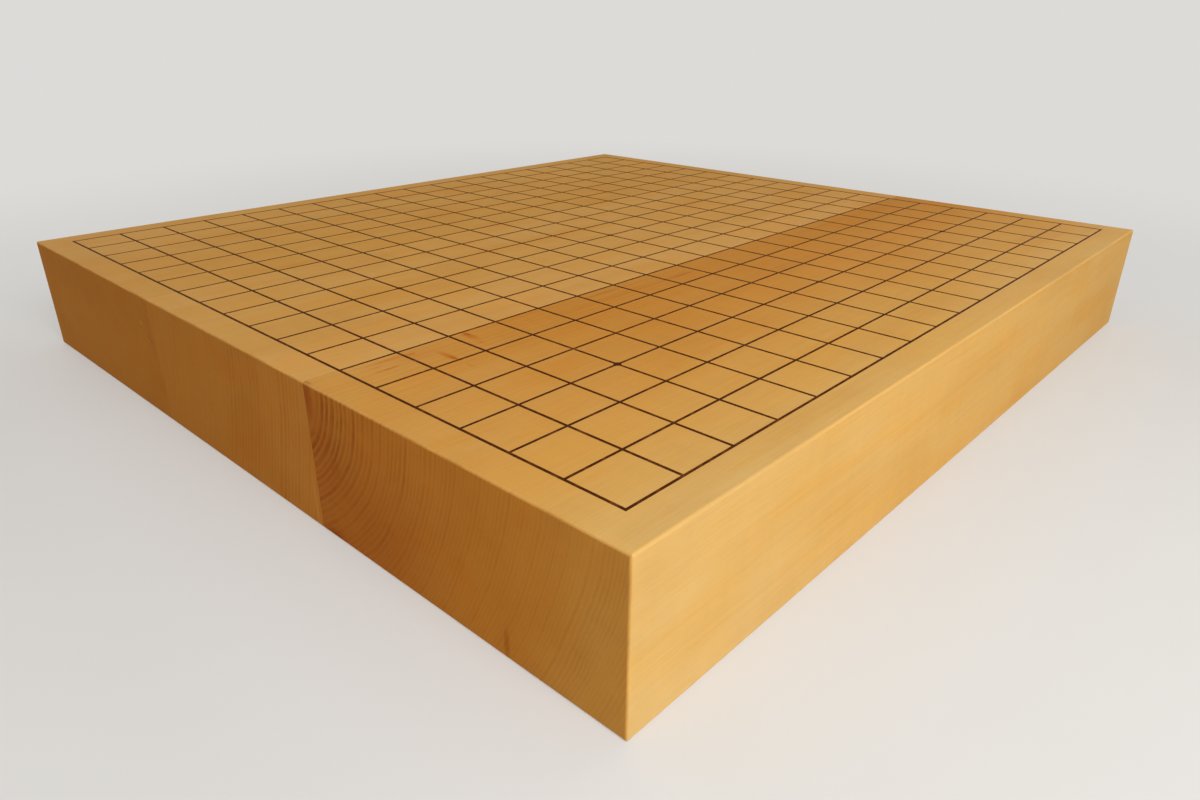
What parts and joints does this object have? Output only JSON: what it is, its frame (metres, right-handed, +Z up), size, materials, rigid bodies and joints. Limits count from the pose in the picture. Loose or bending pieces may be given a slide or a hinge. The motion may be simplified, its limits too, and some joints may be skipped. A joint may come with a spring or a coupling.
{
  "type": "go board",
  "caption": "Thick table go board of planks glued edge to edge, with a square-cornered grid of raised lacquer lines and small star points on its playing face.",
  "frame": {"origin": "centre of the underside, on the surface that the board lies on", "axes": "+X across the board, +Y along the planks' grain, +Z up out of the playing face"},
  "size_m": [0.4242, 0.4544, 0.0582],
  "materials": {
    "wood_left": "planed, waxed satin",
    "wood_middle": "planed, waxed satin",
    "wood_right": "planed, waxed satin",
    "glue": "dried glue line",
    "lacquer": "satin lacquer"
  },
  "bodies": {
    "root": {"left_plank": "wood_left", "middle_plank": "wood_middle", "right_plank": "wood_right", "glue_left": "glue", "glue_right": "glue", "lengthwise_line_01": "lacquer", "lengthwise_line_02": "lacquer", "lengthwise_line_03": "lacquer", "lengthwise_line_04": "lacquer", "lengthwise_line_05": "lacquer", "lengthwise_line_06": "lacquer", "lengthwise_line_07": "lacquer", "lengthwise_line_08": "lacquer", "lengthwise_line_09": "lacquer", "lengthwise_line_10": "lacquer", "lengthwise_line_11": "lacquer", "lengthwise_line_12": "lacquer", "lengthwise_line_13": "lacquer", "lengthwise_line_14": "lacquer", "lengthwise_line_15": "lacquer", "lengthwise_line_16": "lacquer", "lengthwise_line_17": "lacquer", "lengthwise_line_18": "lacquer", "lengthwise_line_19": "lacquer", "crosswise_line_01": "lacquer", "crosswise_line_02": "lacquer", "crosswise_line_03": "lacquer", "crosswise_line_04": "lacquer", "crosswise_line_05": "lacquer", "crosswise_line_06": "lacquer", "crosswise_line_07": "lacquer", "crosswise_line_08": "lacquer", "crosswise_line_09": "lacquer", "crosswise_line_10": "lacquer", "crosswise_line_11": "lacquer", "crosswise_line_12": "lacquer", "crosswise_line_13": "lacquer", "crosswise_line_14": "lacquer", "crosswise_line_15": "lacquer", "crosswise_line_16": "lacquer", "crosswise_line_17": "lacquer", "crosswise_line_18": "lacquer", "crosswise_line_19": "lacquer", "star_point_1": "lacquer", "star_point_2": "lacquer", "star_point_3": "lacquer", "star_point_4": "lacquer", "star_point_5": "lacquer", "star_point_6": "lacquer", "star_point_7": "lacquer", "star_point_8": "lacquer", "star_point_9": "lacquer"}
  },
  "joints": []
}
